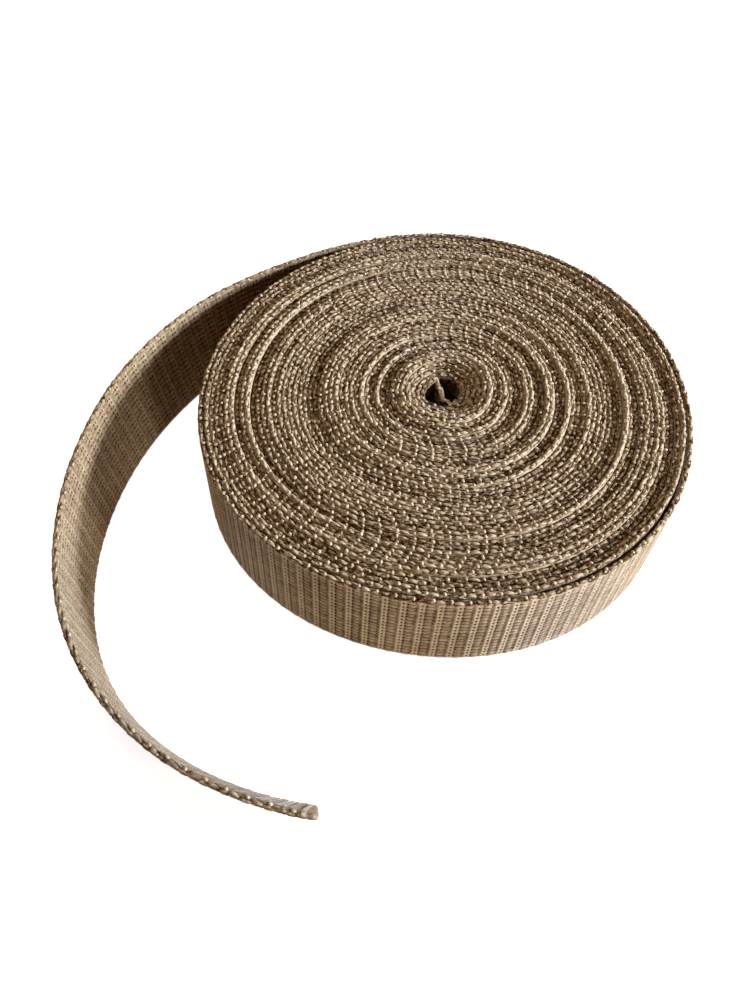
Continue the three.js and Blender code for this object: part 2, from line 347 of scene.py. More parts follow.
def faceRelief(along, across):
    # Height of the woven face over its ground, and its lightness: painted light on the yarn that stands
    # proud, painted shade on the ground between. Each repeat has two ribs close together, a column of holes
    # beside each, and then a band of short floats.
    repeat = weave["repeat"]
    inRepeat = (-along - weave["phase"]) % repeat
    row = (across - weave["selvedge"]) / usableWidth * weave["rows"]
    inRow = row - np.floor(row)
    beside = np.minimum(inRow, 1 - inRow)
    between = beside < weave["rowGap"]
    inside = np.clip(np.minimum(across, strip["width"] - across) / weave["selvedge"] - 0.6, 0, 1)

    second = weave["secondRib"]
    wide, narrow = weave["ribHalfWidths"]
    ribs = np.maximum(swellAt(inRepeat, 0, wide), swellAt(inRepeat, repeat, wide))
    ribs = np.maximum(ribs, 0.95 * swellAt(inRepeat, second, narrow))
    begins, ends = weave["floats"]
    floats = np.clip((inRepeat - begins) / 0.25, 0, 1) * np.clip((ends - inRepeat) / 0.3, 0, 1)
    rounded = np.clip(beside / 0.34, 0, 1) ** 0.7
    begins, ends = weave["flank"]
    flank = np.clip((inRepeat - begins) / 0.3, 0, 1) * np.clip((ends - inRepeat) / 0.2, 0, 1)
    small, big = weave["holeHalfWidths"]
    smallHoles = np.exp(-((inRepeat - 0.5 * second) / small) ** 2)
    bigHoles = np.exp(-((inRepeat - second - weave["bigHole"]) / big) ** 2)
    holes = np.maximum(0.75 * smallHoles, bigHoles) * between * inside
    ties = swellAt(inRepeat, 0.5 * second, 0.5) * np.clip(beside / 0.33, 0, 1)
    height = weave["ribHeight"] * np.maximum(ribs, 0.7 * ties) * (0.5 + 0.5 * inside)
    height = np.maximum(height, weave["floatHeight"] * floats * (rounded * inside + 1 - inside))
    height = np.maximum(height, 0.4 * weave["ribHeight"] * flank)
    height = height - weave["holeDepth"] * holes - weave["rowGapDepth"] * between * inside
    lightness = weave["groundLight"] + weave["ribLight"] * np.maximum(ribs**2, ties)
    lightness = lightness + weave["floatLight"] * floats + weave["selvedgeLight"] * (1 - inside)
    return height, np.clip(lightness, 0, 1)


def repeatStations(start, end):
    # Places along the strip that catch each rib, hole and float of the weave
    within = np.array([0.0, 0.24, 0.46, 0.68, 0.92, 1.16, 1.45, 1.75, 2.3, 2.85, 3.15, 3.5, 3.8])
    first = math.floor(start / weave["repeat"]) - 1
    last = math.ceil(end / weave["repeat"]) + 2
    origins = np.arange(first, last + 1) * weave["repeat"] - weave["phase"]
    stations = np.sort(np.concatenate([origin - within for origin in origins]))
    stations = stations[(stations > start + 0.05) & (stations < end - 0.05)]
    return np.concatenate([[start], stations, [end]])


def acrossPlaces(fine):
    # Places across the strip from the foot to the top edge, as a share of the usable width
    edge = weave["selvedge"]
    if not fine:
        return np.array([0.35, 1.2, 8.0, 16.0, 21.0, 23.2, 24.0, 24.65])
    middle = edge + usableWidth * np.arange(weave["rows"] * 3 + 1) / (weave["rows"] * 3)
    low = np.array([0.35, 0.7, 1.05])
    return np.concatenate([low, middle, strip["width"] - low[::-1]])


def wovenStrip(name, start, end, fineInside, material):
    # The strip itself with the weave as real relief on its outer face, and on its inner one if fine
    along = repeatStations(start, end)
    half = strip["thickness"] / 2
    columns = []
    for sign, places in ((1, acrossPlaces(True)), (-1, acrossPlaces(fineInside)[::-1])):
        for across in places:
            columns.append((sign * half, across, sign > 0 or fineInside, sign))
        if sign > 0:
            columns += [(0.34, 24.82, False, 0), (0.0, 24.78, False, 0), (-0.34, 24.82, False, 0)]
        else:
            columns += [(-0.38, 0.04, False, 0), (0.0, 0.0, False, 0), (0.38, 0.04, False, 0)]
    rings, light, place = [], [], []
    stretch = (topOf(along) - strip["yarnSink"]) / strip["width"]
    for side, across, relief, sign in columns:
        acrossHere = np.full_like(along, across)
        raised, lightness = faceRelief(along, acrossHere)
        if not relief:
            raised = np.zeros_like(along)
            lightness = np.full_like(along, 0.5)
        elif sign < 0:
            # The back of the weave is plainer: the ribs show on it only as fine lines
            lightness = 0.44 + 0.36 * (lightness - 0.43)
        ease = 0.12 if sign else 0.0
        rings.append(onStrip(along, side + sign * (raised - ease), acrossHere * stretch))
        light.append(lightness)
        woven = relief and 1.0 < across < strip["width"] - 1.0
        face = (outerMark if sign > 0 else innerMark) if woven else 0.0
        # Whole rows further on, so that the two faces don't share the same streaks
        around = acrossHere + 22 * rowPitch * (sign < 0)
        place.append(np.stack([along, around, np.full_like(along, face)], axis=-1))
    rings = np.stack(rings, axis=1)
    attributes = {"lightness": np.stack(light, axis=1), "strip": np.stack(place, axis=1)}
    return loft(name, rings, attributes, material)


def plainStrip(name, start, end, material):
    # The wound turns: their faces lie against each other, so only the top edge is shaped. The steps
    # grow with the radius, up to the longest one, and are short where the inner end bends.
    shortStep, longStep, bendsFrom = 0.35, 3.2, wholeLength - 26
    sample = np.arange(start, end, strip["pathStep"])
    radius = np.interp(sample, path["along"], np.hypot(path["x"], path["y"]))
    along = [start]
    while along[-1] < end:
        reach = np.interp(along[-1], sample, radius)
        step = min(longStep, max(shortStep, 0.05 * reach + 0.9))
        along.append(along[-1] + (shortStep if along[-1] > bendsFrom else step))
    along = np.array(along[:-1] + [end])
    half = strip["thickness"] / 2
    top = topOf(along) - strip["yarnSink"]
    # The last value carries painted shade, darkest at the foot between the turns and on the top under the
    # edge yarns
    profile = [  # side, drop below the top edge or None at the foot, lightness
        (half, None, 0.2), (half, 1.6, 0.42), (half - 0.02, 0.4, 0.56), (half - 0.14, 0.1, 0.36),
        (0.18, 0.0, 0.36), (-0.18, 0.0, 0.36), (-half + 0.14, 0.1, 0.36), (-half + 0.02, 0.4, 0.56),
        (-half, 1.6, 0.42), (-half, None, 0.2), (-half + 0.3, 0.0, 0.3), (half - 0.3, 0.0, 0.3),
    ]
    rings, light, place = [], [], []
    for index, (side, drop, lightness) in enumerate(profile):
        if drop is None:
            height = np.full_like(along, 0.3)
        else:
            height = np.zeros_like(along) if index >= 10 else top - drop
        rings.append(onStrip(along, np.full_like(along, side), height))
        # The inner end is pale on its edge, and painted shade darkens its sides down in the eye. Every turn
        # takes the painted groove shade.
        onEdge = 0.3 if drop is not None and drop < 0.2 else -0.2
        light.append(lightness + onEdge * onInnerEnd(along) - paintedGrooveShade(along))
        place.append(np.stack([along, height, np.full_like(along, side)], axis=-1))
    attributes = {"lightness": np.stack(light, axis=1), "strip": np.stack(place, axis=1)}
    return loft(name, np.stack(rings, axis=1), attributes, material)


def yarnBits(name, kinds, start, end, material, seed, calm=0.0):
    # Short stretches of edge yarn, each a closed little spindle half sunk in the strip's edge.
    # calm draws them in, as on the loose end, where the edge is flatter.
    points, faces, light, place = [], [], [], []
    total = 0
    for number, kind in enumerate(kinds):
        draw = np.random.default_rng(seed + number)
        offset = kind["from"] + weave["phase"]
        first = math.ceil((start + offset) / weave["repeat"])
        last = math.floor((end - 0.3 + offset) / weave["repeat"])
        origin = np.arange(first, last + 1) * weave["repeat"] - offset
        count = len(origin)
        if count == 0:
            continue
        length = kind["length"] * draw.uniform(*edgeLook["length"], count)
        nearEye = np.clip((origin / wholeLength - 0.5) / 0.3, 0, 1)
        stray = edgeLook["stray"] + edgeLook["strayInEye"] * nearEye
        side = draw.normal(0, 1, count) * stray
        lift = draw.normal(0, 1, count) * stray
        girth = draw.uniform(*edgeLook["girth"], count)
        shade = draw.uniform(-kind["vary"], kind["vary"], count) * (1 - calm)
        tone = kind["light"] + calm * (kind["calmLight"] - kind["light"])
        shares = np.array(kind["shares"])
        swell = np.array(kind["swell"])
        arch = np.sin(np.pi * np.clip(shares * 0.9 + 0.05, 0, 1))
        sides = kind["sides"]
        turn = 2 * np.pi * (np.arange(sides) + 0.5) / sides
        along = origin[:, None] - length[:, None] * shares[None, :]
        fromSide, toSide = kind["side"]
        across = fromSide + (toSide - fromSide) * shares[None, :] + side[:, None]
        across = across * (1 - 0.5 * calm) + kind["calmShift"] * calm
        height = kind["lift"] * arch[None, :] - kind["sink"] * (1 - arch[None, :]) + lift[:, None]
        height = height * (1 - calm) - edgeLook["calmSink"] * calm
        radius = kind["radius"] * swell[None, :] * girth[:, None] * (1 - kind["calmThinner"] * calm)
        sideways = across[..., None] + radius[..., None] * np.cos(turn)
        upward = height[..., None] + radius[..., None] * kind["flat"] * np.sin(turn)
        alongs = np.broadcast_to(along[..., None], sideways.shape)
        bits = onStrip(alongs, sideways, topOf(alongs) - strip["yarnSink"] + upward)
        rings = len(shares)
        points.append(bits.reshape(-1, 3))
        one = []
        for ring in range(rings - 1):
            for k in range(sides):
                beside = (k + 1) % sides
                one.append([ring * sides + k, (ring + 1) * sides + k,
                            (ring + 1) * sides + beside, ring * sides + beside])
        caps = [list(range(sides)), [(rings - 1) * sides + k for k in range(sides - 1, -1, -1)]]
        base = total + np.arange(count) * rings * sides
        faces += (base[:, None, None] + np.array(one)[None]).reshape(-1, 4).tolist()
        for cap in caps:
            faces += (base[:, None] + np.array(cap)[None]).tolist()
        # Painted shade darkens it at its ends, where it dips into the edge, and underneath; it is paler
        # towards the eye and on the inner end, and takes the painted groove shade
        ends = edgeLook["endsPaintedShade"] * (arch - 0.75)[None, :, None] * (1 - calm)
        paintedUnderShade = edgeLook["underPaintedShade"] * (1 - 0.7 * calm) * (np.sin(turn) - 1)[None, None, :]
        shades = tone + shade[:, None, None] + ends + paintedUnderShade
        inward = edgeLook["eyePaler"] * np.clip((origin / wholeLength - 0.4) / 0.3, 0, 1)
        crossing = edgeLook["innerEndPaler"] * onInnerEnd(origin + 1)
        shades = shades + (inward + crossing - paintedGrooveShade(origin))[:, None, None]
        light.append(np.broadcast_to(shades, sideways.shape).reshape(-1))
        marks = upward + calmEdgeMark * calm
        place.append(np.stack([alongs, sideways, marks], axis=-1).reshape(-1, 3))
        total += count * rings * sides
    attributes = {"lightness": np.clip(np.concatenate(light), 0, 1), "strip": np.concatenate(place)}
    return addMesh(name, np.concatenate(points), faces, attributes, material)


# How unevenly the edge yarns lie, how their tone changes, and the painted shade at their ends and
# underneath
edgeLook = {
    "length": (0.8, 1.12),  # shares of the length and the girth given below
    "girth": (0.82, 1.16),
    "stray": 0.07,
    "strayInEye": 0.05,  # more of it towards the eye
    "calmSink": 0.12,
    "endsPaintedShade": 0.3,
    "underPaintedShade": 0.22,
    "eyePaler": 0.05,
    "innerEndPaler": 0.22,
}

# What shows on the edge in each repeat: the weft's loop, the edge warp that runs over it, and
# lower yarns beside them. "from" is measured from the first rib, away from the roll's middle.
dot = weave["selvedgeDot"]
edgeYarns = [
    {"from": dot - 0.45, "length": 0.9, "side": (-0.14, -0.08), "radius": 0.48, "flat": 0.8,
     "lift": 0.16, "sink": 0.0, "shares": (0.0, 0.22, 0.5, 0.78, 1.0), "swell": (0.4, 0.9, 1.0, 0.9, 0.4),
     "sides": 6, "light": 0.8, "vary": 0.12, "calmLight": 0.85, "calmShift": -0.36, "calmThinner": 0.5},
    {"from": dot + 0.5, "length": 2.5, "side": (-0.12, 0.14), "radius": 0.43, "flat": 0.68,
     "lift": 0.08, "sink": 0.2, "shares": (0.0, 0.2, 0.5, 0.8, 1.0), "swell": (0.4, 0.9, 1.05, 0.85, 0.4),
     "sides": 6, "light": 0.59, "vary": 0.18, "calmLight": 0.56, "calmShift": 0.0, "calmThinner": 0.0},
    {"from": dot + 2.5, "length": 1.7, "side": (0.34, 0.06), "radius": 0.34, "flat": 0.6,
     "lift": -0.04, "sink": 0.14, "shares": (0.0, 0.35, 0.7, 1.0), "swell": (0.4, 1.0, 1.0, 0.4),
     "sides": 5, "light": 0.52, "vary": 0.16, "calmLight": 0.44, "calmShift": 0.1, "calmThinner": 0.0},
    {"from": dot + 1.6, "length": 2.5, "side": (-0.44, -0.5), "radius": 0.28, "flat": 0.6,
     "lift": -0.08, "sink": 0.18, "shares": (0.0, 0.3, 0.7, 1.0), "swell": (0.35, 1.0, 1.0, 0.35),
     "sides": 4, "light": 0.46, "vary": 0.16, "calmLight": 0.54, "calmShift": 0.0, "calmThinner": 0.0},
    {"from": dot - 1.0, "length": 2.0, "side": (0.46, 0.44), "radius": 0.24, "flat": 0.6,
     "lift": -0.08, "sink": 0.16, "shares": (0.0, 0.5, 1.0), "swell": (0.4, 1.0, 0.4),
     "sides": 4, "light": 0.46, "vary": 0.16, "calmLight": 0.5, "calmShift": 0.0, "calmThinner": 0.0},
]


# Materials


def linear(code):
    # sRGB hex to linear colour
    parts = [int(code[i:i + 2], 16) / 255 for i in (1, 3, 5)]
    return tuple(c / 12.92 if c <= 0.04045 else ((c + 0.055) / 1.055) ** 2.4 for c in parts) + (1.0,)


def addNode(tree, kind, settings=None, links=None):
    # Adds one node, sets its properties or sockets by name, and links its sockets
    node = tree.nodes.new(kind)
    for key, value in (settings or {}).items():
        if isinstance(key, int) or key in node.inputs:
            node.inputs[key].default_value = value
        else:
            setattr(node, key, value)
    for key, source in (links or {}).items():
        tree.links.new(source, node.inputs[key])
    return node


def newMaterial(name):
    material = bpy.data.materials.new(name)
    material.use_nodes = True
    material.node_tree.nodes.clear()
    return material, material.node_tree


def mathNode(tree, operation, first, second):
    # Two values joined; either may be a number or a socket
    values = {k: v for k, v in enumerate((first, second)) if isinstance(v, float)}
    links = {k: v for k, v in enumerate((first, second)) if not isinstance(v, float)}
    return addNode(tree, "ShaderNodeMath", {"operation": operation, **values}, links).outputs[0]


def scaled(tree, source, factor, offset):
    # The source times the factor, plus the offset
    return addNode(tree, "ShaderNodeMath", {"operation": "MULTIPLY_ADD", 1: factor, 2: offset},
                   {0: source}).outputs[0]


def ramp(tree, source, low, high, start=0.0, end=1.0):
    # A smooth step from start to end while the source goes from low to high
    step = addNode(tree, "ShaderNodeMapRange", {
        "interpolation_type": "SMOOTHSTEP",
        "From Min": low, "From Max": high, "To Min": start, "To Max": end,
    }, {"Value": source})
    return step.outputs["Result"]


def noise(tree, place, scale, detail, roughness=0.5):
    # Cloudy noise over the places on the strip
    return addNode(tree, "ShaderNodeTexNoise", {"Scale": scale, "Detail": detail, "Roughness": roughness},
                   {"Vector": place}).outputs["Fac"]


def colourRamp(tree, source, stops):
    # One colour after another as the source grows
    shades = addNode(tree, "ShaderNodeValToRGB", {}, {"Fac": source})
    elements = shades.color_ramp.elements
    while len(elements) < len(stops):
        elements.new(0.5)
    for element, (position, colour) in zip(elements, stops):
        element.position = position
        element.color = linear(colour)
    return shades.outputs["Color"]


# Painted shade in the gaps of the woven face: dark spots and lines beside the shadow that their relief
# gives
gapLook = {
    "smallHole": (0.24, 0.22),  # half its length along the strip, half its height in rows
    "bigHole": (0.26, 0.2),
    "bigHoleFrom": 0.45,  # past the second rib
    "bigShade": 0.8,
    "lineShade": 0.3,
    "tickShade": 0.08,
    "yarnByYarn": 0.12,  # how far the tone differs from one yarn to the next
}


def spot(tree, inRepeat, besideRow, middle, halfLength, halfHeight):
    # An oval gap between the yarns, once in each repeat and row: 1 inside, 0 outside
    x = scaled(tree, inRepeat, 1 / halfLength, -middle / halfLength)
    y = mathNode(tree, "MULTIPLY", besideRow, 1 / halfHeight)
    both = addNode(tree, "ShaderNodeCombineXYZ", {}, {"X": x, "Y": y})
    reach = addNode(tree, "ShaderNodeVectorMath", {"operation": "LENGTH"}, {0: both.outputs["Vector"]})
    return ramp(tree, reach.outputs["Value"], 0.8, 1.25, 1.0, 0.0)


def weaveTone(tree, place, look):
    # How much darker or lighter the face lies at a place of the weave: painted shade in the gaps beside the
    # ribs and in the dark lines between the floats, and a small difference from yarn to yarn
    parts = addNode(tree, "ShaderNodeSeparateXYZ", {}, {"Vector": place})
    along = scaled(tree, parts.outputs["X"], -1.0, -weave["phase"])
    inRepeat = mathNode(tree, "FLOORED_MODULO", along, weave["repeat"])
    row = scaled(tree, parts.outputs["Y"], 1 / rowPitch, -weave["selvedge"] / rowPitch)
    beside = mathNode(tree, "PINGPONG", row, 0.5)
    small = spot(tree, inRepeat, beside, 0.5 * weave["secondRib"], *look["smallHole"])
    big = spot(tree, inRepeat, beside, weave["secondRib"] + look["bigHoleFrom"], *look["bigHole"])
    lines = ramp(tree, beside, 0.08, 0.2, 1.0, 0.0)
    lines = mathNode(tree, "MULTIPLY", lines, ramp(tree, inRepeat, 1.5, 1.8))
    lines = mathNode(tree, "MULTIPLY", lines, ramp(tree, inRepeat, 2.8, 3.3, 1.0, 0.0))
    ticks = ramp(tree, beside, 0.0, 0.14, 1.0, 0.0)
    paintedGapShade = small
    for gap, shade in ((big, look["bigShade"]), (lines, look["lineShade"]), (ticks, look["tickShade"])):
        paintedGapShade = mathNode(tree, "ADD", paintedGapShade, mathNode(tree, "MULTIPLY", gap, shade))
    number = mathNode(tree, "FLOOR", mathNode(tree, "DIVIDE", along, weave["repeat"]), 0.0)
    cell = addNode(tree, "ShaderNodeCombineXYZ", {}, {"X": number, "Y": mathNode(tree, "FLOOR", row, 0.0)})
    chance = addNode(tree, "ShaderNodeTexWhiteNoise", {"noise_dimensions": "2D"},
                     {"Vector": cell.outputs["Vector"]})
    uneven = scaled(tree, chance.outputs["Value"], look["yarnByYarn"], -0.5 * look["yarnByYarn"])
    strength = ramp(tree, parts.outputs["Z"], 2 * innerMark - outerMark, outerMark)
    onFace = ramp(tree, parts.outputs["Z"], evenMark, 10.5)
    shade = mathNode(tree, "MULTIPLY", mathNode(tree, "SUBTRACT", uneven, paintedGapShade), strength)
    return shade, onFace, strength


# Polypropylene yarn, spun fine and woven tight: matt from the side, with a soft gloss along the
# fibres. Its tones run from painted shade, brown in the gaps between the yarns, to painted light where it
# stands proud.
yarnLook = {
    # From painted shade at the bottom of a gap to painted light on the yarn that stands highest
    "tones": [(0.0, "#281204"), (0.22, "#553a1d"), (0.5, "#847358"), (0.75, "#a99a82"), (1.0, "#b7ad9d")],
    # Olive and pink, in patches over those tones
    "hues": [(0.38, "#847d5a"), (0.62, "#937a65")],
    "hueShare": 0.3,
    "hueScale": 0.12,
    "roughness": 0.75,
    "ior": 1.49,
    "gloss": (0.05, 0.35),  # of the yarn in the gaps, and of the yarn that stands proud
    "sheen": (0.02, 0.45),
    "faceSheen": (0.6, 0.4),  # more of it on the flat faces: on the inner one, on the outer one
    "sheenRoughness": 0.35,
    "sheenTint": "#e4e6e4",
    "fibre": 0.24,  # across a bundle of fibres, in millimetres
    "fibreStretch": 0.4,
    "fibreContrast": 2.2,
    "fibreBump": 0.4,
    "faceNoise": 0.32,  # how much of that noise is left on the flat faces
    "pitSize": 0.55,
    "pitDepth": 0.5,
    "shadeSpread": 30.0,  # size of the slow changes of tone along the strip
    "shadeContrast": 0.3,
    "paintedSheenGrey": "#8a877a",  # painted sheen: the loose end turns grey, as light glancing off its face would make it, and darker, with less real sheen
    "paintedSheenFrom": -115.0,  # where that begins along the strip
    "paintedSheenTo": -205.0,
    "paintedSheenShare": 0.4,
    "tipEndDarker": 0.08,
    "tipEndSheen": 0.25,  # what is left of the faces' sheen there
}


def yarnMaterial(name, look):
    material, tree = newMaterial(name)
    light = addNode(tree, "ShaderNodeAttribute", {"attribute_name": "lightness"}).outputs["Fac"]
    place = addNode(tree, "ShaderNodeAttribute", {"attribute_name": "strip"}).outputs["Vector"]
    weaveShade, onFace, strength = weaveTone(tree, place, gapLook)
    calm = ramp(tree, onFace, 0.0, 1.0, 1.0, look["faceNoise"])
    # Bundles of fibres lie along the yarn: light and dark streaks, drawn out along the strip
    stretched = addNode(tree, "ShaderNodeMapping", {"Scale": (look["fibreStretch"], 1.0, 1.0)},
                        {"Vector": place})
    fibres = noise(tree, stretched.outputs["Vector"], 0.5 / look["fibre"], 3.0, 0.7)
    streaks = scaled(tree, fibres, look["fibreContrast"], -0.5 * look["fibreContrast"])
    streaks = mathNode(tree, "MULTIPLY", streaks, ramp(tree, light, 0.7, 0.95, 1.0, 0.5))
    streaks = mathNode(tree, "MULTIPLY", streaks, calm)
    # Painted shade in small pits where the yarns part, deepest where the yarn already lies low
    pitNoise = noise(tree, place, 0.5 / look["pitSize"], 1.0)
    pitShade = mathNode(tree, "MULTIPLY", ramp(tree, pitNoise, 0.54, 0.66), look["pitDepth"])
    pitShade = mathNode(tree, "MULTIPLY", pitShade, ramp(tree, light, 0.3, 0.75, 1.0, 0.1))
    pitShade = mathNode(tree, "MULTIPLY", pitShade, calm)
    # Slow changes of tone, as dye and light take along a strip
    slow = noise(tree, place, 1 / look["shadeSpread"], 4.0, 0.7)
    tone = scaled(tree, slow, look["shadeContrast"], -0.5 * look["shadeContrast"])
    parts = addNode(tree, "ShaderNodeSeparateXYZ", {}, {"Vector": place})
    paintedSheenGrey = ramp(tree, parts.outputs["X"], look["paintedSheenTo"], look["paintedSheenFrom"], 1.0, 0.0)
    total = mathNode(tree, "ADD", light, streaks)
    total = mathNode(tree, "SUBTRACT", total, pitShade)
    total = mathNode(tree, "ADD", total, tone)
    total = mathNode(tree, "ADD", total, weaveShade)
    total = mathNode(tree, "SUBTRACT", total, mathNode(tree, "MULTIPLY", paintedSheenGrey, look["tipEndDarker"]))
    # The tone decides the colour; patches of hue and the grey of painted sheen at the loose end lie over it
    shades = colourRamp(tree, total, look["tones"])
    tint = colourRamp(tree, noise(tree, place, look["hueScale"], 3.0, 0.6), look["hues"])
    colour = addNode(tree, "ShaderNodeMix", {
        "data_type": "RGBA", "blend_type": "COLOR", 0: look["hueShare"],
    }, {6: shades, 7: tint})
    colour = addNode(tree, "ShaderNodeMix", {
        "data_type": "RGBA", "blend_type": "COLOR", 7: linear(look["paintedSheenGrey"]),
    }, {0: mathNode(tree, "MULTIPLY", paintedSheenGrey, look["paintedSheenShare"]), 6: colour.outputs[2]})
    bump = addNode(tree, "ShaderNodeBump", {"Strength": look["fibreBump"], "Distance": 0.2 * mm},
                   {"Height": fibres})
    gloss = ramp(tree, total, 0.15, 0.7, *look["gloss"])
    faceSheen = ramp(tree, strength, 0.5, 1.0, *look["faceSheen"])
    faceSheen = mathNode(tree, "MULTIPLY", faceSheen, ramp(tree, paintedSheenGrey, 0.3, 1.0, 1.0, look["tipEndSheen"]))
    faceSheen = mathNode(tree, "MULTIPLY", onFace, faceSheen)
    sheen = mathNode(tree, "ADD", ramp(tree, total, 0.15, 0.6, *look["sheen"]), faceSheen)
    shader = addNode(tree, "ShaderNodeBsdfPrincipled", {
        "Roughness": look["roughness"], "IOR": look["ior"],
        "Sheen Roughness": look["sheenRoughness"], "Sheen Tint": linear(look["sheenTint"]),
    }, {
        "Base Color": colour.outputs[2], "Normal": bump.outputs["Normal"],
        "Specular IOR Level": gloss, "Sheen Weight": sheen,
    })
    addNode(tree, "ShaderNodeOutputMaterial", {}, {"Surface": shader.outputs["BSDF"]})
    return material


# The cut tip: polypropylene melted shut with heat, so pale, smooth and a little waxy
tipLook = {
    "tones": [(0.35, "#5c4c3d"), (0.6, "#857866")],  # blotches, from scorched to clean
    "pale": "#b8ae9c",
    "paleAt": 2.2,  # a pale line where the melt begins, from the tip
    "roughness": 0.6,
    "ior": 1.49,
}


def tipMaterial(name, look):
    material, tree = newMaterial(name)
    place = addNode(tree, "ShaderNodeAttribute", {"attribute_name": "strip"}).outputs["Vector"]
    blotches = noise(tree, place, 1.1, 3.0)
    parts = addNode(tree, "ShaderNodeSeparateXYZ", {}, {"Vector": place})
    begins = looseTip + look["paleAt"]
    pale = mathNode(tree, "MULTIPLY", ramp(tree, parts.outputs["X"], begins - 0.4, begins),
                    ramp(tree, parts.outputs["X"], begins + 0.3, begins + 0.7, 1.0, 0.0))
    colour = addNode(tree, "ShaderNodeMix", {"data_type": "RGBA", 7: linear(look["pale"])},
                     {0: pale, 6: colourRamp(tree, blotches, look["tones"])})
    bump = addNode(tree, "ShaderNodeBump", {"Strength": 0.3, "Distance": 0.4 * mm}, {"Height": blotches})
    shader = addNode(tree, "ShaderNodeBsdfPrincipled", {"Roughness": look["roughness"], "IOR": look["ior"]},
                     {"Base Color": colour.outputs[2], "Normal": bump.outputs["Normal"]})
    addNode(tree, "ShaderNodeOutputMaterial", {}, {"Surface": shader.outputs["BSDF"]})
    return material


webbing = yarnMaterial("polypropylene_woven", yarnLook)
sealed = tipMaterial("polypropylene_melted", tipLook)

# Pieces. The webbing and its edge yarns end inside the cap over the tip.
sealedEnd = {
    "start": 3.0,  # where the cap begins, from the tip
    "length": 3.4,
    "steps": 18,
    "points": 40,
    "roundsFrom": 0.45,  # share of the length where the end begins to round off
    "swell": 0.06,
    "rounding": 1.6,
    "cutBack": 1.7,  # how much shorter it is at the foot
    "webbingEnds": 2.1,
    "yarnEnds": 3.0,
}
firstTurnLength = np.interp(1.0, path["turned"][path["along"] >= 0], path["along"][path["along"] >= 0])
outerEnd = math.ceil(firstTurnLength / weave["repeat"]) * weave["repeat"]

woundWebbing = plainStrip("wound_webbing", outerEnd, wholeLength, webbing)
outerTurn = wovenStrip("outer_turn", 0.0, outerEnd, False, webbing)
looseWebbing = wovenStrip("loose_webbing", looseTip + sealedEnd["webbingEnds"], 0.0, True, webbing)
# The wound edge is cut in three, to keep each piece under its limit of triangles
thirds = (wholeLength * 0.36, wholeLength * 0.68)
innerEdge = yarnBits("inner_edge_yarn", edgeYarns, thirds[1], wholeLength - 0.5, webbing, 21)
middleEdge = yarnBits("middle_edge_yarn", edgeYarns, thirds[0], thirds[1], webbing, 26)
woundEdge = yarnBits("wound_edge_yarn", edgeYarns, outerEnd, thirds[0], webbing, 31)
outerEdge = yarnBits("outer_edge_yarn", edgeYarns, 0.0, outerEnd, webbing, 41)
looseEdge = yarnBits("loose_edge_yarn", edgeYarns, looseTip + sealedEnd["yarnEnds"], 0.0, webbing, 51,
                     calm=0.72)


def powered(wave, power):
    # A sine or cosine pulled out towards a square wave
    return np.sign(wave) * np.abs(wave) ** power


def sealedTip(name, look, material):
    # The melted end: a rounded cap over the last of the strip
    shares = np.linspace(0, 1, look["steps"])
    along = looseTip + look["start"] - shares * look["length"]
    halfWide = strip["width"] / 2
    halfThick = strip["thickness"] / 2 + look["swell"]
    rings, place = [], []
    turn = 2 * np.pi * np.arange(look["points"]) / look["points"]
    for where, share in zip(along, shares):
        rounded = max(share - look["roundsFrom"], 0) / (1 - look["roundsFrom"])
        arc = 1 - math.sqrt(1 - rounded**2)
        sideways = halfThick * (1 - 0.9 * arc) * powered(np.cos(turn), 0.7)
        reach = halfWide + 0.12 - look["rounding"] * arc
        up = halfWide + reach * powered(np.sin(turn), 0.25)
        where = where + look["cutBack"] * share * (1 - np.clip(up / strip["width"], 0, 1))
        rings.append(onStrip(where, sideways, up))
        place.append(np.stack([where, sideways, up], axis=-1))
    return loft(name, np.stack(rings), {"strip": np.stack(place)}, material)


tip = sealedTip("sealed_tip", sealedEnd, sealed)

woundPieces = (woundWebbing, innerEdge, middleEdge, woundEdge, outerTurn, outerEdge)
loosePieces = (looseWebbing, looseEdge, tip)
for piece in woundPieces + loosePieces:
    piece.data.calc_loop_triangles()
    print(piece.name, len(piece.data.loop_triangles), "triangles")

for piece in woundPieces:
    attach(piece, "root")
    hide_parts("wound_roll")
for piece in loosePieces:
    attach(piece, "root")
    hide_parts("loose_end")

# Camera: the photograph's own viewpoint, worked out from the roll's outline
view = {
    "elevation": 54.01,
    "tilt": 3.014,
    "distance": 215.6,
    "right": 19.57,
    "up": 28.65,
    "lens": 30.13,
    "aimHeight": 25.14,
}


def addCamera():
    data = bpy.data.cameras.new("viewpoint")
    data.sensor_fit = "VERTICAL"
    data.sensor_height = 36.0
    data.sensor_width = 36.0
    data.lens = view["lens"]
    data.clip_start = 0.01
    data.clip_end = 10.0
    camera = bpy.data.objects.new("viewpoint", data)
    bpy.context.scene.collection.objects.link(camera)
    elevation, tilt = math.radians(view["elevation"]), math.radians(view["tilt"])
    forward = Vector((0, math.cos(elevation), -math.sin(elevation)))
    level = Vector((1, 0, 0))
    climb = level.cross(forward)
    right = level * math.cos(tilt) + climb * math.sin(tilt)
    up = climb * math.cos(tilt) - level * math.sin(tilt)
    aim = Vector((rollCentre[0], rollCentre[1], view["aimHeight"]))
    place = aim - forward * view["distance"] - right * view["right"] - up * view["up"]
    turned = Matrix((right, up, -forward)).transposed().to_4x4()
    camera.matrix_world = Matrix.Translation(place * mm) @ turned
    bpy.context.scene.camera = camera


addCamera()

# Floor and light
studio = {
    "floor": "#e6d3b6",
    "floorRoughness": 0.9,
    "floorSize": 3000.0,
    "floorGlow": 0.86,
    "glowColour": "#f6f9ff",
    "eyeWidth": (20.0, 30.0),  # the floor begins to glow between these radii
    "sky": "#ffba74",
    "skyStrength": 0.18,
    "backdrop": "#fdfdfd",
    "lightDistance": 1000.0,
    "lightAim": 12.0,  # height that the lights point at
}

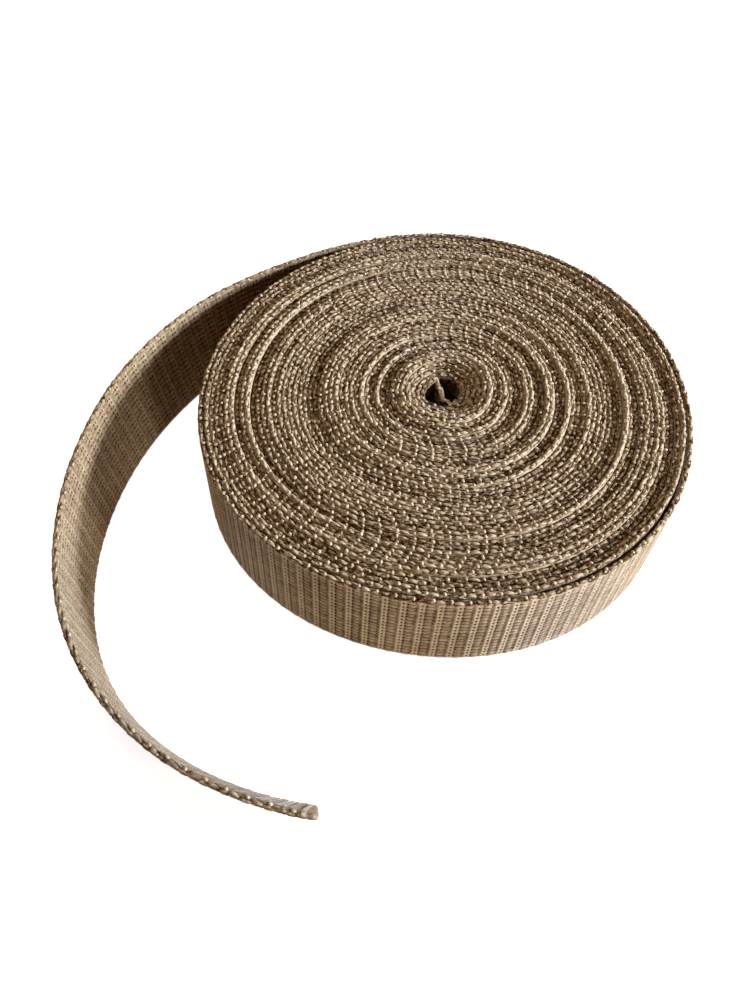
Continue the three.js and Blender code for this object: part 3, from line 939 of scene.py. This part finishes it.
# The lights: where they stand round the roll, and their strength in watts. A low bright window on
# the right gives the roll its long relief, two weaker ones reach the front, and a soft one above
# and behind opens the shadows on the top.
lights = [
    {"name": "window_light", "azimuth": 0.0, "elevation": 17.5, "size": 160.0,
     "watts": 25.5, "colour": "#e4edff"},
    {"name": "warm_light", "azimuth": -26.0, "elevation": 12.0, "size": 120.0,
     "watts": 6.0, "colour": "#fff8f0"},
    {"name": "front_light", "azimuth": -60.0, "elevation": 12.0, "size": 120.0,
     "watts": 3.9, "colour": "#f8f8f4"},
    {"name": "ceiling_light", "azimuth": 135.0, "elevation": 78.0, "size": 300.0,
     "watts": 4.8, "colour": "#ffeede"},
]


def addFloor():
    size = studio["floorSize"] / 2
    points = np.array([(-size, -size, 0), (size, -size, 0), (size, size, 0), (-size, size, 0)]) * mm
    material, tree = newMaterial("paper_backdrop")
    grain = addNode(tree, "ShaderNodeTexNoise", {"Scale": 40.0, "Detail": 2.0})
    bump = addNode(tree, "ShaderNodeBump", {"Strength": 0.02, "Distance": 0.5 * mm},
                   {"Height": grain.outputs["Fac"]})
    shader = addNode(tree, "ShaderNodeBsdfPrincipled", {
        "Base Color": linear(studio["floor"]), "Roughness": studio["floorRoughness"],
    }, {"Normal": bump.outputs["Normal"]})
    # The camera sees a glow added to the paper, so that the shadows on it stay faint. Inside the eye
    # the floor keeps its own shade.
    seen = addNode(tree, "ShaderNodeLightPath")
    place = addNode(tree, "ShaderNodeNewGeometry")
    centre = (rollCentre[0] * mm, rollCentre[1] * mm, 0)
    away = addNode(tree, "ShaderNodeVectorMath", {"operation": "DISTANCE", 1: centre},
                   {0: place.outputs["Position"]})
    inner, outer = studio["eyeWidth"]
    outside = ramp(tree, away.outputs["Value"], inner * mm, outer * mm, 0, studio["floorGlow"])
    strength = mathNode(tree, "MULTIPLY", seen.outputs["Is Camera Ray"], outside)
    glow = addNode(tree, "ShaderNodeEmission", {"Color": linear(studio["glowColour"])},
                   {"Strength": strength})
    both = addNode(tree, "ShaderNodeAddShader", {},
                   {0: shader.outputs["BSDF"], 1: glow.outputs["Emission"]})
    addNode(tree, "ShaderNodeOutputMaterial", {}, {"Surface": both.outputs["Shader"]})
    floor = addMesh("floor", points, [[0, 1, 2, 3]], {}, material)


def addAreaLight(lamp):
    data = bpy.data.lights.new(lamp["name"], "AREA")
    data.shape = "DISK"
    data.size = lamp["size"] * mm
    data.energy = lamp["watts"]
    data.color = linear(lamp["colour"])[:3]
    light = bpy.data.objects.new(lamp["name"], data)
    bpy.context.scene.collection.objects.link(light)
    a, e = math.radians(lamp["azimuth"]), math.radians(lamp["elevation"])
    away = Vector((math.cos(a) * math.cos(e), math.sin(a) * math.cos(e), math.sin(e)))
    target = Vector((rollCentre[0], rollCentre[1], studio["lightAim"]))
    light.location = (target + away * studio["lightDistance"]) * mm
    light.rotation_mode = "QUATERNION"
    light.rotation_quaternion = (-away).to_track_quat("-Z", "Y")


def addSky():
    world = bpy.data.worlds.new("studio")
    world.use_nodes = True
    tree = world.node_tree
    tree.nodes.clear()
    warm = addNode(tree, "ShaderNodeBackground",
                   {"Color": linear(studio["sky"]), "Strength": studio["skyStrength"]})
    white = addNode(tree, "ShaderNodeBackground", {"Color": linear(studio["backdrop"]), "Strength": 1.0})
    # Seen directly the backdrop is white paper, like the floor
    seen = addNode(tree, "ShaderNodeLightPath")
    both = addNode(tree, "ShaderNodeMixShader", {}, {
        0: seen.outputs["Is Camera Ray"], 1: warm.outputs["Background"], 2: white.outputs["Background"]})
    addNode(tree, "ShaderNodeOutputWorld", {}, {"Surface": both.outputs["Shader"]})
    bpy.context.scene.world = world


addFloor()
for lamp in lights:
    addAreaLight(lamp)
addSky()
bpy.context.scene.view_settings.view_transform = "Standard"
print("stage, lights and camera made")
